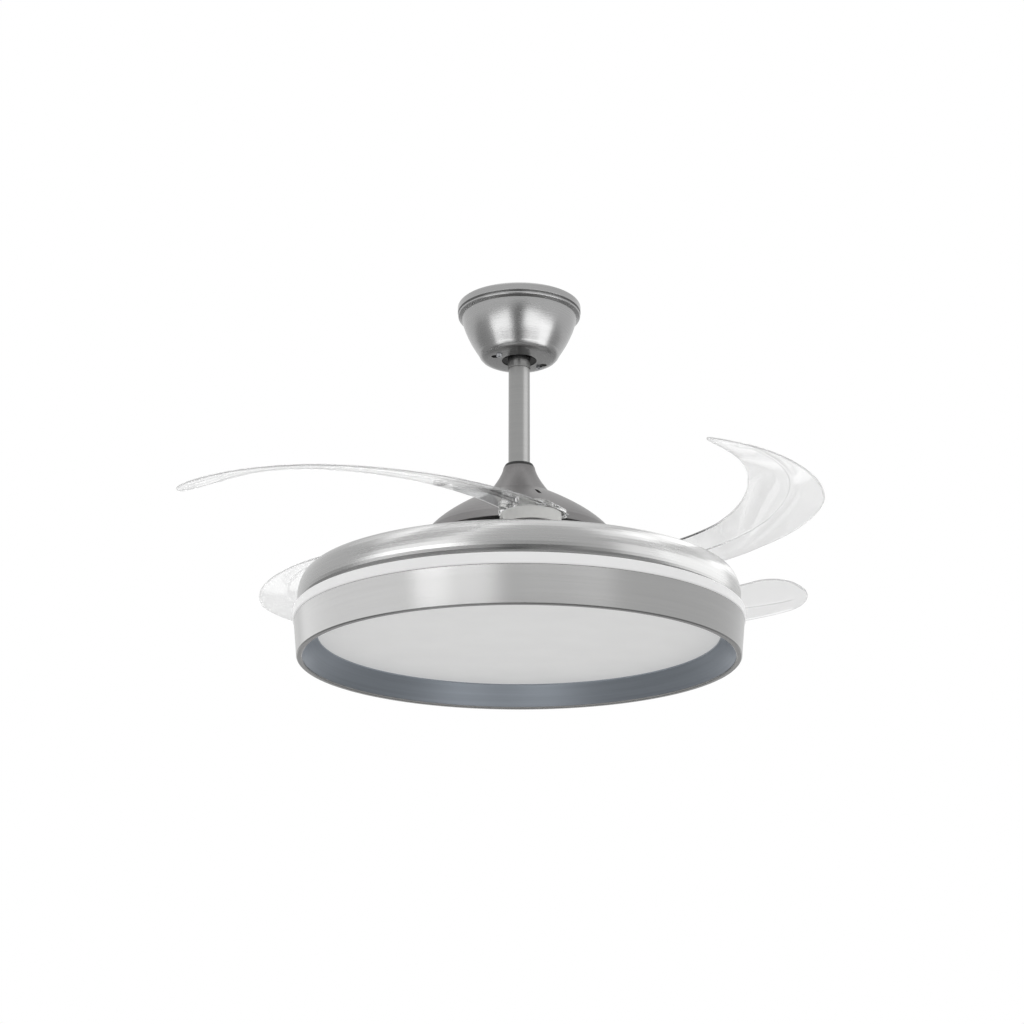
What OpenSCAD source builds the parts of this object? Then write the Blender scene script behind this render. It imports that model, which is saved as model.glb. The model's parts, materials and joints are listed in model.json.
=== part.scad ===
// Ceiling fan with a drum light and four clear blades that fold away over the drum.
// Millimetres. The origin is the middle of the ceiling face of the hanger bracket, +Z up,
// and everything hangs below it. The blades are drawn open, as they stand at speed.

/* [Ceiling mount] */
// Outer diameter of the canopy at its top rim
canopy_d = 146; // [142:1:170]
// Depth of the canopy below the ceiling
canopy_h = 69; // [66:0.5:80]
// Diameter of the canopy's foot
canopy_foot_d = 87.5; // [86:0.5:92]
// Radius of the canopy's rounded foot
canopy_foot_round = 4.7; // [3:0.1:6]
// Diameter of the opening in the canopy's foot
canopy_hole_d = 41; // [38:1:44]
// Sheet thickness of the canopy
canopy_wall = 1.2; // [0.8:0.1:2]
// Distance between the two ceiling screw slots
ceiling_pitch = 89; // [80:1:96]
// Width of a ceiling screw slot
ceiling_slot_w = 5.5; // [4.5:0.5:7]
// Length of a ceiling screw slot from end to end
ceiling_slot_l = 14; // [10:1:18]
// Sheet thickness of the hanger bracket
bracket_t = 2.5; // [2:0.5:4]
// Diameter of the hanger ball
ball_d = 44; // [42:1:46]

/* [Downrod] */
// Outer diameter of the downrod
rod_d = 25; // [22:0.5:27]
// Wall of the downrod
rod_wall = 2; // [1.5:0.25:3]
// Length of rod that shows between the canopy and the neck gasket
rod_show = 130.5; // [80:0.5:600]
// Height of the rubber gasket on the neck
gasket_h = 4; // [3:0.5:10]
// Diameter of the pins that cross the rod
pin_d = 6; // [5:0.5:8]

/* [Motor cover] */
// Diameter of the cover's lower edge
cover_d = 223; // [214:1:236]
// Height of the cover
cover_h = 91.5; // [88:0.5:120]
// Height of the cover's flared neck
neck_h = 32; // [28:1:38]
// Diameter at the foot of the flared neck
neck_foot_d = 72.5; // [68:0.5:80]
// Sheet thickness of the cover
cover_wall = 2; // [1.2:0.1:3]
// Air gap from the cover's edge down to the rotor
cover_gap = 4; // [2:0.5:8]

/* [Motor] */
// Height of the rotor housing
motor_h = 40; // [38:1:50]
// Outer diameter of the rotor housing without its flange
motor_d = 176; // [170:1:180]
// Diameter of the rotor's joining flange
flange_d = 196; // [190:1:200]
// Thickness of a rotor housing wall
motor_wall = 3; // [2.5:0.5:4]
// Outer diameter of the fixed hollow shaft
shaft_d = 20; // [18:1:20]
// Bore of the fixed shaft for the lamp wires
shaft_bore_d = 12; // [8:0.5:13]
// Outer diameter of a bearing
bearing_d = 42; // [40:1:44]
// Width of a bearing
bearing_w = 12; // [10:1:12]
// Number of stator poles
poles = 16; // [12:2:18]
// Air gap between the stator and the magnets
air_gap = 1; // [0.6:0.1:1.5]
// Gap between the lamp pan and the rotor
pan_gap = 2.2; // [2:0.2:8]

/* [Blades] */
// Number of blades
blade_n = 4; // [4]
// Angle of the blade that opens to the right, seen from above
blade_turn = 4; // [0:1:30]
// Length of a blade along its middle line
blade_len = 458; // [420:1:460]
// Straight neck at the root
neck_len = 15; // [10:1:30]
// Bend radius of the inner half
bend_in_r = 255; // [245:1:265]
// Length of the inner bend
bend_in_len = 240; // [220:1:250]
// Bend radius of the outer half
bend_out_r = 178; // [174:1:190]
// Width of the blade at its root
blade_root_w = 71; // [66:1:72]
// Width of the blade a third of the way out
blade_waist_w = 68; // [64:1:72]
// Width of the blade at its widest
blade_belly_w = 84; // [78:1:84]
// Width of the blade where its round end starts
blade_end_w = 74; // [66:1:76]
// Thickness of the clear blade
blade_t = 3; // [2:0.25:3.5]
// Height of the moulded crease along the blade
crease_h = 1.4; // [0.6:0.1:2]
// Rise of the blade from its root to its end
blade_rise = 19; // [17:0.5:22]
// Pitch of the blade at its root
pitch_root = 9; // [7:0.5:10]
// Pitch of the blade at its end
pitch_end = 21; // [18:0.5:22]
// Lean of the open blade's neck behind the radius through its pivot
open_lean = 36; // [34:0.5:38]
// Length of the blade behind its pivot
blade_heel = 29.5; // [27:0.5:31]
// Width of the moulded root pad
pad_w = 61; // [58:1:64]
// Height of the root pad above the middle of the blade
pad_rise = 6; // [4:0.5:6.5]

/* [Blade gearing] */
// Gear module
gear_m = 3; // [3]
// Teeth on each blade's gear
blade_teeth = 20; // [20]
// Teeth on the full circle of the ring that ties the blades together
ring_teeth = 96; // [96]
// Teeth cut in each sector of the ring
sector_teeth = 10; // [9:1:11]
// Thickness of the gears
gear_t = 6.2; // [5:0.2:6.4]
// Play between meshing teeth
backlash = 0.5; // [0.4:0.05:0.8]
// Diameter of a pivot post
post_d = 12; // [10:0.5:13]
// Diameter of the hub's boss inside the blade
boss_d = 34; // [32:0.5:36]
// Thickness of the carrier plate
carrier_t = 4; // [3:0.5:5]
// Width of a carrier arm
arm_w = 38; // [34:1:42]

/* [Drum light] */
// Diameter of the drum at its lower rim
drum_d = 500; // [496:1:520]
// Flare of the shell's diameter from its rim to its top
shell_flare = 8; // [0:1:10]
// Height of the metal shell
shell_h = 41.5; // [38:0.5:60]
// Height of the white ring
ring_h = 12; // [10:0.5:20]
// Width of the white ring
ring_w = 8.8; // [7:0.1:9]
// Height of the metal pan
pan_h = 39.3; // [36:0.1:60]
// Sheet thickness of the pan and the shell
sheet_t = 1.5; // [1:0.1:2]
// Width of the shell's turned-in rim
rim_w = 6.5; // [5:0.5:8]
// Visible diameter of the diffuser
diffuser_d = 454; // [446:1:460]
// Depth of the diffuser's edge above the rim
diffuser_inset = 26; // [20:1:30]
// Sag of the diffuser's middle below its edge
diffuser_sag = 4; // [0:0.5:8]

/* [Hidden] */
$fn = 96;

// clearances
touch = 0.02;
slack = 0.3;
run = 0.05;
ring_run = 0.1;

// levels, from the ceiling down
canopy_z = -canopy_h;
gasket_z = canopy_z - rod_show;
cover_z = gasket_z - gasket_h;
cover_edge_z = cover_z - cover_h;
motor_top = cover_edge_z - cover_gap;
motor_bot = motor_top - motor_h;
motor_mid = (motor_top + motor_bot) / 2;
pan_top = motor_bot - pan_gap;
pan_bot = pan_top - pan_h;
ring_bot = pan_bot - ring_h;
rim_z = ring_bot - shell_h;

// radii that several pieces share
rod_r = rod_d / 2;
shaft_r = shaft_d / 2;
bearing_r = bearing_d / 2;
motor_r = motor_d / 2;
flange_r = flange_d / 2;
magnet_t = 5;
magnet_r = motor_r - motor_wall - 1;
stator_r = magnet_r - magnet_t - air_gap;
drum_r = drum_d / 2;
shell_top_r = drum_r + shell_flare / 2;

// hanger bracket and ball
ball_r = ball_d / 2;
bracket_l = 128;
bracket_w = 44;
seat_drop = canopy_h - 14;
leg_x = 37;
seat_r = 18;
seat_top = -seat_drop + bracket_t;
ball_z = seat_top + sqrt(ball_r * ball_r - seat_r * seat_r);
canopy_screw_r = 30.5;
canopy_screw_turn = 40;
keyhole_l = 8;

// rod and yoke
set_screw_turns = [-71, 109];
rod_top = ball_z + 18;
yoke_r = 20;
yoke_h = 42;
yoke_top = cover_z - 24;
yoke_bot = yoke_top - yoke_h;
socket_h = 24;
rod_bot = yoke_top - socket_h;
shaft_top = rod_bot - 2;
yoke_pin_z = yoke_top - 9;

// shaft, bearings and housing
low_bearing_z = motor_bot + 2;
collar_h = low_bearing_z - slack - pan_top;
high_bearing_z = motor_top - 2 - bearing_w;
hub_wall = 4;
core_h = high_bearing_z - low_bearing_z - bearing_w - 1.6;
core_z = motor_mid - core_h / 2;
nut_h = 8;
pan_flange_t = 3.5;
pan_flange_r = 46;
pan_screw_r = 34;
pan_plate_z = pan_top - sheet_t;
shaft_bot = pan_plate_z - pan_flange_t - nut_h - 6;
rotor_bolts = 8;
rotor_bolt_r = (motor_r + flange_r) / 2 + 0.5;

// gearing, all from the number of teeth
pivot_r = gear_m * (ring_teeth + blade_teeth) / 2;
blade_pitch_r = gear_m * blade_teeth / 2;
ring_pitch_r = gear_m * ring_teeth / 2;
tooth_turn = 360 / ring_teeth;
carrier_top = motor_mid - motor_wall;
gear_z = carrier_top + slack;
gear_top = gear_z + gear_t;
ring_in_r = flange_r + 18;
ring_body_r = ring_in_r + 11;

// teeth of a hub that meet the ring between its two stops
hub_tooth_first = 8;
hub_tooth_last = 15;
hub_skirt_h = 7;
skirt_t = 2.4;
skirt_from = -68;
skirt_to = 134;

// blade shape
blade_z = gear_top + 6.2;
pad_bot = gear_top + slack;
pad_ahead = 22;
pad_corner = 9;
pad_reach = blade_heel + pad_w;
bend_out_len = blade_len - neck_len - bend_in_len;
boss_r = boss_d / 2;
boss_top = blade_z + pad_rise;
post_r = post_d / 2;
post_top = boss_top + slack;
spring_r = (post_r + boss_r) / 2 - 0.5;
wire_r = 1;

// drum light
ring_r = shell_top_r + 1.3;
pan_r = drum_r + 0.8;
pan_belly_z = pan_bot + 17;
pan_shoulder = 12;
pan_curl = 5;
tray_r = ring_r - ring_w - slack;
lip_in_r = tray_r - 10;
tray_z = pan_bot - sheet_t;
trim_z = rim_z + diffuser_inset;
diffuser_r = diffuser_d / 2;
post_circle_r = tray_r - 4;
driver_r = 120;
driver_w = 62;
driver_l = 112;
driver_h = 24;
driver_foot = 8;

// ---- helpers ----

// a ring between two radii
module tube(r1, r2, h) {
    difference() {
        cylinder(r = r2, h = h);
        translate([0, 0, -1]) cylinder(r = r1, h = h + 2);
    }
}

// children repeated round the axis
module around(n, r, start = 0) {
    for (i = [0 : n - 1]) rotate([0, 0, start + i * 360 / n]) translate([r, 0, 0]) children();
}

// children placed at every blade pivot
module at_pivots() {
    around(blade_n, pivot_r, blade_turn) children();
}

// flat bar with round corners
module round_bar(l, w, r) {
    square([l - 2 * r, w], center = true);
    square([l, w - 2 * r], center = true);
    for (x = [-1, 1], y = [-1, 1]) translate([x * (l / 2 - r), y * (w / 2 - r)]) circle(r);
}

// slot with round ends along X
module slot(l, w) {
    square([l - w, w], center = true);
    for (x = [-1, 1]) translate([x * (l - w) / 2, 0]) circle(w / 2, $fn = 48);
}

// pan-head screw pointing down from its seat at the origin
module screw(d, l, head_d, head_h) {
    translate([0, 0, -l]) cylinder(d = d, h = l + touch, $fn = 32);
    difference() {
        cylinder(d = head_d, h = head_h, $fn = 32);
        translate([0, 0, head_h * 0.45]) cylinder(d = head_d * 0.45, h = head_h, $fn = 6);
    }
}

// point on an involute that starts at radius rb
function involute(rb, a) = [rb * (cos(a) + a * PI / 180 * sin(a)), rb * (sin(a) - a * PI / 180 * cos(a))];
function turn(p, a) = [p[0] * cos(a) - p[1] * sin(a), p[0] * sin(a) + p[1] * cos(a)];

// one gear tooth about +X, from inside the root circle to the tip
module tooth(teeth) {
    rp = gear_m * teeth / 2;
    rb = rp * cos(20);
    ra = rp + gear_m * 0.95;
    rf = rp - gear_m * 1.25;
    start = sqrt(max(0, pow(max(rf, rb) / rb, 2) - 1)) * 180 / PI;
    stop = sqrt(pow(ra / rb, 2) - 1) * 180 / PI;
    at_pitch = tan(20) * 180 / PI - 20;
    half = 90 / teeth - backlash / 2 / rp * 180 / PI + at_pitch;
    flank = [for (i = [0 : 4]) turn(involute(rb, start + (stop - start) * i / 4), -half)];
    polygon(concat([[rf - 1, flank[0][1]]], flank,
        [for (i = [4 : -1 : 0]) [flank[i][0], -flank[i][1]]], [[rf - 1, -flank[0][1]]]));
}

// ---- ceiling mount ----

module ceiling_bracket() {
    color("darkgray") {
        // ceiling plate with its two screw slots and a wire hole
        translate([0, 0, -bracket_t]) linear_extrude(bracket_t) difference() {
            round_bar(bracket_l, bracket_w - 8, 6);
            for (x = [-1, 1]) translate([x * ceiling_pitch / 2, 0]) slot(ceiling_slot_l, ceiling_slot_w);
            circle(9);
        }
        // two legs down to the ball seat, each with a lightening hole
        for (x = [-1, 1]) translate([x * (leg_x - bracket_t / 2), 0, 0]) difference() {
            translate([-bracket_t / 2, -bracket_w / 2 + 5, -seat_drop])
                cube([bracket_t, bracket_w - 10, seat_drop - touch]);
            translate([0, 0, -seat_drop / 2]) rotate([0, 90, 0])
                cylinder(r = 8, h = 10, center = true);
        }
        // seat for the ball
        difference() {
            translate([0, 0, -seat_drop]) linear_extrude(bracket_t) difference() {
                round_bar(2 * leg_x, bracket_w + 4, 6);
                circle(seat_r - 0.5);
                rotate(canopy_screw_turn) for (x = [-1, 1])
                    translate([x * canopy_screw_r, 0]) circle(2, $fn = 32);
            }
            translate([0, 0, ball_z]) sphere(ball_r + touch);
        }
    }
}

module hanger_ball() {
    color("dimgray") translate([0, 0, ball_z]) difference() {
        sphere(ball_r);
        translate([0, 0, 14]) cylinder(r = ball_r, h = ball_r);
        translate([0, 0, -ball_r - 2]) cylinder(r = ball_r, h = 6);
        cylinder(r = rod_r + touch, h = 3 * ball_r, center = true);
        rotate([0, 90, 0]) cylinder(d = pin_d, h = 3 * ball_r, center = true, $fn = 48);
    }
}

module ball_pin() {
    color("silver") translate([0, 0, ball_z]) rotate([0, 90, 0])
        cylinder(d = pin_d, h = ball_d - 5, center = true, $fn = 48);
}

module receiver() {
    color("white") translate([0, 0, -bracket_t - 11]) linear_extrude(11) round_bar(62, 30, 3);
}

// the canopy's outline: a round foot, a leaning bowl, a bead and an upright band
function canopy_line() = let (
    r = canopy_d / 2, f = canopy_foot_round, bowl_r = r - 3.6, bowl_z = -19.7,
    c = canopy_foot_d / 2 - f, lean = atan2(bowl_r - c - f, canopy_h + bowl_z),
    r1 = c + f * cos(lean), z1 = canopy_z + f - f * sin(lean)) concat(
    [[c, canopy_z]],
    [for (i = [1 : 5]) let (a = -90 + (90 - lean) * i / 6) [c + f * cos(a), canopy_z + f + f * sin(a)]],
    [for (i = [0 : 5]) let (u = i / 5) [r1 + (bowl_r - r1) * u + 2 * u * (1 - u), z1 + (bowl_z - z1) * u]],
    [[bowl_r + 1, bowl_z + 1.2]],
    [for (a = [-50 : 22 : 60]) [r - 2.4 + 2 * cos(a), bowl_z + 4.5 + 2 * sin(a)]],
    [[r - 1.6, bowl_z + 7.6], [r - 0.4, bowl_z + 8], [r, bowl_z + 8.7], [r, -3]],
    [[r - 0.9, -1], [r - 2.9, 0]]);

module canopy() {
    w = canopy_wall;
    out = canopy_line();
    r = canopy_d / 2;
    // the inner face follows the outer one and passes behind the bead
    inner = [[r - 2.9 - w, 0], [r - w - 0.8, -2], [r - w, -3.5], [r - w, -10], [r - w - 1.9, -12.8],
        [r - w - 3, -18], [out[11][0] - 1.1 * w, out[11][1] + 0.5], [out[6][0] - 1.15 * w, out[6][1] + 0.6],
        [out[0][0], canopy_z + w], [canopy_hole_d / 2, canopy_z + w]];
    color("silver") difference() {
        rotate_extrude($fn = 128) polygon(concat([[canopy_hole_d / 2, canopy_z]], out, inner));
        // keyholes: the wide end passes the screw's head, the narrow end holds it
        for (k = [0, 180]) rotate([0, 0, canopy_screw_turn + k])
            translate([canopy_screw_r, 0, canopy_z - 1]) linear_extrude(canopy_wall + 2) {
                translate([0, -keyhole_l / 2]) rotate(90) slot(keyhole_l + 4.6, 4.6);
                translate([0, -keyhole_l]) circle(4.2, $fn = 48);
            }
    }
}

module canopy_screws() {
    l = canopy_h - seat_drop;
    color("silver") rotate([0, 0, canopy_screw_turn]) for (x = [-1, 1])
        translate([x * canopy_screw_r, 0, canopy_z]) mirror([0, 0, 1]) screw(4, l + 1, 7, 2.2);
}

// ---- downrod, neck and cover ----

module rod_collar() {
    color("silver") translate([0, 0, canopy_z - 11]) difference() {
        tube(rod_r + touch, rod_r + 0.8, 17);
        translate([0, 0, 8]) rotate([90, 0, 0]) cylinder(d = 3, h = 60, $fn = 32);
    }
}

module downrod() {
    color("silver") translate([0, 0, rod_bot]) difference() {
        cylinder(r = rod_r, h = rod_top - rod_bot);
        translate([0, 0, -1]) cylinder(r = rod_r - rod_wall, h = rod_top - rod_bot + 2);
        translate([0, 0, ball_z - rod_bot]) rotate([0, 90, 0])
            cylinder(d = pin_d, h = 2 * rod_d, center = true, $fn = 48);
        translate([0, 0, yoke_pin_z - rod_bot]) rotate([0, 90, 0])
            cylinder(d = pin_d, h = 2 * rod_d, center = true, $fn = 48);
    }
}

module neck_gasket() {
    r = rod_r + 5;
    color("black") translate([0, 0, cover_z]) rotate_extrude()
        polygon([[rod_r + touch, -3], [rod_r + 1.2, -3], [rod_r + 1.2, 0], [r, 0],
            [r - 0.3, gasket_h * 0.5], [r - 1.5, gasket_h], [rod_r + touch, gasket_h]]);
}

// the cover's outline: a flared neck that runs into a domed skirt
function cover_line(inset) = let (
    r0 = rod_r + 5.8, r1 = neck_foot_d / 2, r2 = cover_d / 2,
    skirt_h = cover_h - neck_h) concat(
    [for (i = [0 : 7]) let (u = i / 8) [r0 + (r1 - r0) * pow(u, 1.44) - inset, cover_z - neck_h * u]],
    [for (i = [0 : 16]) let (u = i / 16, drop = i < 16 ? inset * u : 0)
        [r1 + (r2 - r1) * u - inset, cover_z - cover_h + skirt_h * pow(1 - u, 0.65) - drop]]);

module motor_cover() {
    out = cover_line(0);
    in = cover_line(cover_wall);
    n = len(out) - 1;
    color("gray") difference() {
        rotate_extrude($fn = 128) polygon(concat([[rod_r + 1.3, cover_z]], out,
            [for (i = [n : -1 : 1]) in[i]], [[in[0][0], cover_z - cover_wall],
            [rod_r + 1.3, cover_z - cover_wall]]));
        // slots for the tool that turns the yoke's set screws
        for (a = set_screw_turns) rotate([0, 0, a]) translate([cover_d * 0.2, 0, cover_z - neck_h - 16.3])
            rotate([0, 90, 0]) linear_extrude(cover_d * 0.2) slot(9.5, 4.5);
    }
}

module yoke() {
    color("slategray") translate([0, 0, yoke_bot]) difference() {
        union() {
            cylinder(r = yoke_r, h = yoke_h);
            cylinder(r = yoke_r + 7, h = 6);
        }
        translate([0, 0, yoke_h - socket_h]) cylinder(r = rod_r + touch, h = socket_h + 1);
        translate([0, 0, -1]) cylinder(r = shaft_r + touch, h = yoke_h);
        translate([0, 0, yoke_pin_z - yoke_bot]) rotate([0, 90, 0])
            cylinder(d = pin_d, h = 4 * yoke_r, center = true, $fn = 48);
        for (a = set_screw_turns) rotate([0, 0, a]) translate([0, 0, yoke_h - socket_h + 5])
            rotate([0, 90, 0]) cylinder(d = 6, h = 2 * yoke_r, $fn = 48);
    }
}

module yoke_pin() {
    color("silver") translate([0, 0, yoke_pin_z]) rotate([0, 90, 0]) {
        cylinder(d = pin_d, h = 2 * yoke_r + 4, center = true, $fn = 48);
        translate([0, 0, yoke_r]) cylinder(d = pin_d + 3, h = 2, $fn = 48);
    }
}

module yoke_screws() {
    color("dimgray") for (a = set_screw_turns) rotate([0, 0, a])
        translate([0, 0, yoke_top - socket_h + 5]) rotate([0, 90, 0]) difference() {
            translate([0, 0, rod_r]) cylinder(d = 6, h = yoke_r - rod_r + 1, $fn = 48);
            translate([0, 0, yoke_r - 2]) cylinder(d = 3, h = 4, $fn = 6);
        }
}

// ---- motor: fixed shaft and stator ----

module motor_shaft() {
    color("silver") difference() {
        union() {
            translate([0, 0, shaft_bot]) cylinder(r = shaft_r, h = shaft_top - shaft_bot);
            translate([0, 0, pan_top]) cylinder(r = shaft_r + 3, h = collar_h);
        }
        translate([0, 0, shaft_bot - 1]) cylinder(d = shaft_bore_d, h = shaft_top - shaft_bot + 2);
    }
}

module stator_core() {
    r_yoke = stator_r * 0.42;
    shoe = 180 / poles - 1.8;
    color("darkgray") translate([0, 0, core_z]) linear_extrude(core_h) difference() {
        union() {
            circle(r_yoke);
            for (i = [0 : poles - 1]) rotate(i * 360 / poles) {
                translate([r_yoke - 2, -3.2]) square([stator_r - r_yoke - 2, 6.4]);
                intersection() {
                    circle(stator_r);
                    polygon([[stator_r - 5, -3.2], [(stator_r + 9) * cos(shoe), -(stator_r + 9) * sin(shoe)],
                        [(stator_r + 9) * cos(shoe), (stator_r + 9) * sin(shoe)], [stator_r - 5, 3.2]]);
                }
            }
        }
        circle(shaft_r + touch);
    }
}

module stator_windings() {
    r1 = stator_r * 0.42 + 5;
    r2 = stator_r - 9;
    w = min(12.4, 2 * PI * r1 / poles - 1.4);
    color("chocolate") for (i = [0 : poles - 1]) rotate([0, 0, i * 360 / poles]) difference() {
        translate([r1, -w / 2, core_z - 3.2]) cube([r2 - r1, w, core_h + 6.4]);
        translate([r1 - 1, -3.2 - touch, core_z - touch])
            cube([r2 - r1 + 2, 6.4 + 2 * touch, core_h + 2 * touch]);
    }
}

// ---- motor: rotor ----

// lower half of the rotor housing, its joining face at the middle of the motor
module rotor_half() {
    w = motor_wall;
    h = motor_h / 2;
    lip_r = bearing_r - 2.5;
    hub_top = bearing_w + 2;
    rotate_extrude($fn = 128) polygon([[lip_r, 0], [motor_r - 2, 0], [motor_r, 2],
        [motor_r, h - w], [flange_r, h - w], [flange_r, h], [magnet_r, h], [magnet_r, w + 2],
        [magnet_r - 2, w], [bearing_r + hub_wall, w], [bearing_r + hub_wall, hub_top],
        [bearing_r, hub_top], [bearing_r, 2], [lip_r, 2]]);
}

module rotor_holes(z, h) {
    around(rotor_bolts, rotor_bolt_r, 22.5) translate([0, 0, z]) cylinder(d = 4, h = h, $fn = 32);
}

module rotor_lower() {
    color("lightgray") difference() {
        translate([0, 0, motor_bot]) rotor_half();
        rotor_holes(motor_bot, motor_h);
    }
}

module rotor_upper() {
    color("lightgray") difference() {
        translate([0, 0, motor_top]) mirror([0, 0, 1]) rotor_half();
        rotor_holes(motor_bot, motor_h);
        // cooling slots in the top plate
        for (i = [0 : 7]) rotate([0, 0, i * 45]) translate([motor_r * 0.62, 0, motor_top - motor_wall - 1])
            linear_extrude(motor_wall + 2) slot(26, 6);
    }
}

module magnet_ring() {
    color("dimgray") translate([0, 0, motor_mid - 11]) tube(magnet_r - magnet_t, magnet_r, 22);
}

module bearing(z) {
    color("silver") translate([0, 0, z]) {
        tube(shaft_r + run, shaft_r + 3.2, bearing_w);
        tube(bearing_r - 3.2, bearing_r, bearing_w);
        translate([0, 0, 1]) tube(shaft_r + 3.1, bearing_r - 3.1, bearing_w - 2);
    }
}

module rotor_screws() {
    around(rotor_bolts, rotor_bolt_r, 22.5) translate([0, 0, motor_mid + motor_wall])
        color("silver") screw(4, 2 * motor_wall + carrier_t + 1, 7, 3);
}

module blade_carrier() {
    lip_r = ring_in_r - ring_run;
    color("gainsboro") difference() {
        union() {
            translate([0, 0, carrier_top - carrier_t]) linear_extrude(carrier_t) {
                circle(ring_in_r + 1);
                for (i = [0 : blade_n - 1]) rotate(blade_turn + i * 360 / blade_n) {
                    translate([ring_in_r - 30, -arm_w / 2]) square([pivot_r - ring_in_r + 30, arm_w]);
                    translate([pivot_r, 0]) circle(arm_w / 2);
                }
            }
            // lip that guides the toothed ring
            translate([0, 0, carrier_top - touch]) cylinder(r = lip_r, h = gear_t + 2 * slack + touch);
            // ribs under each arm
            for (i = [0 : blade_n - 1], y = [-1, 1]) rotate([0, 0, blade_turn + i * 360 / blade_n])
                translate([motor_r + 6, y * (arm_w / 2 - 5) - 1.5, carrier_top - carrier_t - 6])
                    cube([pivot_r - motor_r - 8, 3, 6 + touch]);
        }
        // opening for the rotor housing, stepped for its flange
        translate([0, 0, motor_bot]) cylinder(r = motor_r + slack, h = motor_h);
        translate([0, 0, carrier_top]) cylinder(r = flange_r + slack, h = motor_h);
        rotor_holes(motor_bot, motor_h);
        at_pivots() translate([0, 0, motor_bot]) cylinder(r = post_r, h = motor_h);
        // slot through each arm
        for (i = [0 : blade_n - 1]) rotate([0, 0, blade_turn + i * 360 / blade_n])
            translate([(ring_in_r + pivot_r) / 2 - 1, 0, motor_bot]) linear_extrude(motor_h)
                slot(24, 12);
        around(blade_n, ring_in_r - 3.5, blade_turn + 45) translate([0, 0, motor_mid - 1])
            cylinder(d = 3, h = 10, $fn = 32);
    }
}

module pivot_posts() {
    color("silver") at_pivots() difference() {
        union() {
            translate([0, 0, carrier_top - carrier_t - 3]) cylinder(r = post_r + 4, h = 3);
            translate([0, 0, carrier_top - carrier_t - touch])
                cylinder(r = post_r - touch, h = post_top - carrier_top + carrier_t + touch);
        }
        translate([0, 0, post_top - 12]) cylinder(d = 4, h = 13, $fn = 32);
    }
}

module pivot_washers() {
    color("silver") at_pivots() translate([0, 0, post_top]) difference() {
        cylinder(r = spring_r + 3.2, h = 1.2);
        translate([0, 0, -1]) cylinder(d = 4.2, h = 4, $fn = 32);
    }
}

module pivot_screws() {
    color("silver") at_pivots() translate([0, 0, post_top + 1.2]) screw(4, 12, 9, 2.4);
}

// one round coil of wire swept along a helix, with flat ends
module coil(r, wire, turns, pitch) {
    sides = 6;
    steps = 12 * turns;
    pts = [for (i = [0 : steps]) let (a = i * 30) for (j = [0 : sides - 1]) let (b = j * 360 / sides)
        [(r + wire * cos(b)) * cos(a), (r + wire * cos(b)) * sin(a), pitch * i / 12 + wire * sin(b)]];
    quads = [for (i = [0 : steps - 1], j = [0 : sides - 1]) let (k = (j + 1) % sides)
        [i * sides + j, i * sides + k, (i + 1) * sides + k, (i + 1) * sides + j]];
    sides_tri = [for (q = quads, t = [0, 1]) t == 0 ? [q[0], q[1], q[2]] : [q[0], q[2], q[3]]];
    polyhedron(pts, concat(sides_tri, [[for (j = [sides - 1 : -1 : 0]) j]],
        [[for (j = [0 : sides - 1]) steps * sides + j]]));
}

module return_springs() {
    pitch = 2.6;
    turns = 3;
    color("gray") at_pivots() translate([0, 0, boss_top - pitch * turns - wire_r - 0.8])
        coil(spring_r, wire_r, turns, pitch);
}

module ring_keepers() {
    z = gear_top + slack + touch;
    color("silver") around(blade_n, ring_in_r, blade_turn + 45) translate([-7.5, -9, z]) difference() {
        cube([13, 18, 1.5]);
        translate([4, 9, -1]) cylinder(d = 3.2, h = 4, $fn = 32);
    }
}

module keeper_screws() {
    around(blade_n, ring_in_r - 3.5, blade_turn + 45) translate([0, 0, gear_top + slack + 1.5 + touch])
        color("silver") screw(3, 6, 6, 2);
}

// ---- ring that makes the four blades move together ----

module sync_ring() {
    root_r = ring_pitch_r - gear_m * 1.25;
    first = -ceil(sector_teeth / 2) - 1;
    a1 = (first - 0.5) * tooth_turn;
    a2 = (first + sector_teeth - 0.5) * tooth_turn;
    color("whitesmoke") translate([0, 0, gear_z]) linear_extrude(gear_t) difference() {
        union() {
            circle(ring_body_r);
            for (k = [0 : blade_n - 1]) rotate(blade_turn + k * 360 / blade_n) {
                intersection() {
                    circle(root_r);
                    polygon(concat([[0, 0]], [for (i = [0 : 6]) let (a = a1 + (a2 - a1) * i / 6)
                        [2 * root_r * cos(a), 2 * root_r * sin(a)]]));
                }
                for (i = [first : first + sector_teeth - 1]) rotate(i * tooth_turn) tooth(ring_teeth);
            }
        }
        circle(ring_in_r);
    }
}

// ---- blades ----

// heading of the middle line at the distance s from the heel, from the radius through the pivot
function heading(s) = -open_lean
    - min(max(s - neck_len, 0), bend_in_len) / bend_in_r * 180 / PI
    - max(s - neck_len - bend_in_len, 0) / bend_out_r * 180 / PI;

// middle line from the pivot's frame, integrated in small steps
steps_n = 44;
function station(i) = blade_len * (1 - pow(1 - i / steps_n, 1.25));
function line_point(i) = i == 0
    ? [-blade_heel * cos(open_lean), blade_heel * sin(open_lean)]
    : let (a = station(i - 1), b = station(i), h = heading((a + b) / 2), p = line_point(i - 1))
        [p[0] + (b - a) * cos(h), p[1] + (b - a) * sin(h)];

// half width of the blade, with round corners at the heel and a round end
function half_width(s) = let (
    u = s / blade_len,
    w = lookup(u, [[0, blade_root_w], [0.3, blade_waist_w], [0.62, blade_belly_w], [0.88, blade_end_w],
        [1, blade_end_w]]) / 2,
    tip = max(0, (u - 0.88) / 0.12),
    heel = max(0, 1 - s / 10))
    w * sqrt(max(0.0016, 1 - tip * tip)) - 8 * (1 - sqrt(1 - heel * heel));

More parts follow.
